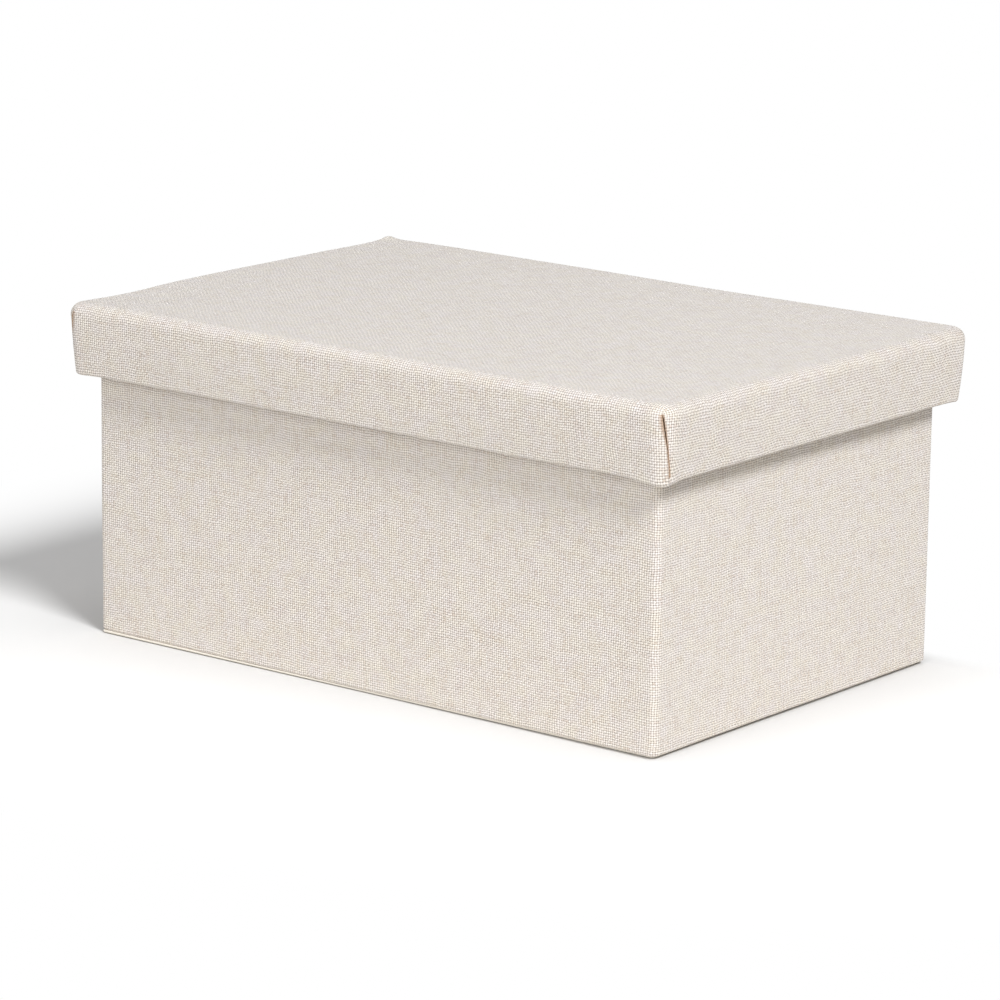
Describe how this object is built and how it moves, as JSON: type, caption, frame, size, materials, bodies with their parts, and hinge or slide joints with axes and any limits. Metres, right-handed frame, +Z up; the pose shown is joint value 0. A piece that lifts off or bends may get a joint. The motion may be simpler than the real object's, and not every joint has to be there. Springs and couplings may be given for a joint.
{
  "type": "photo storage box",
  "caption": "Rigid cloth-covered storage box with a padded lift-off lid that slips over the top of a lined board tray.",
  "frame": {"origin": "centre of the underside, on the surface that the box stands on", "axes": "+X along the long side, +Y towards the back, +Z up"},
  "size_m": [0.3042, 0.2034, 0.1395],
  "materials": {
    "natural_cloth": "coarse plain weave, matt",
    "greyboard": "matt pressed board",
    "kraft_tape": "matt gummed paper",
    "lining_paper": "matt wove paper",
    "base_paper": "matt wove paper",
    "filler_card": "matt card",
    "padding_foam": "open-cell foam"
  },
  "bodies": {
    "box": {"body_base_board": "greyboard", "body_front_board": "greyboard", "body_back_board": "greyboard", "body_left_board": "greyboard", "body_right_board": "greyboard", "body_corner_tapes": "kraft_tape", "body_cover": "natural_cloth", "base_filler_card": "filler_card", "base_sheet": "base_paper", "body_wall_lining": "lining_paper", "body_floor_lining": "lining_paper"},
    "lid": {"lid_top_board": "greyboard", "lid_front_rim_board": "greyboard", "lid_back_rim_board": "greyboard", "lid_left_rim_board": "greyboard", "lid_right_rim_board": "greyboard", "lid_corner_tapes": "kraft_tape", "lid_top_padding": "padding_foam", "lid_front_padding": "padding_foam", "lid_back_padding": "padding_foam", "lid_left_padding": "padding_foam", "lid_right_padding": "padding_foam", "lid_cover": "natural_cloth", "lid_rim_lining": "lining_paper", "lid_top_lining": "lining_paper"}
  },
  "joints": [
    {"name": "lid_lift", "type": "slide", "parent": "box", "child": "lid", "axis": [0, 0, 1], "range_m": [0, 0.15]}
  ]
}
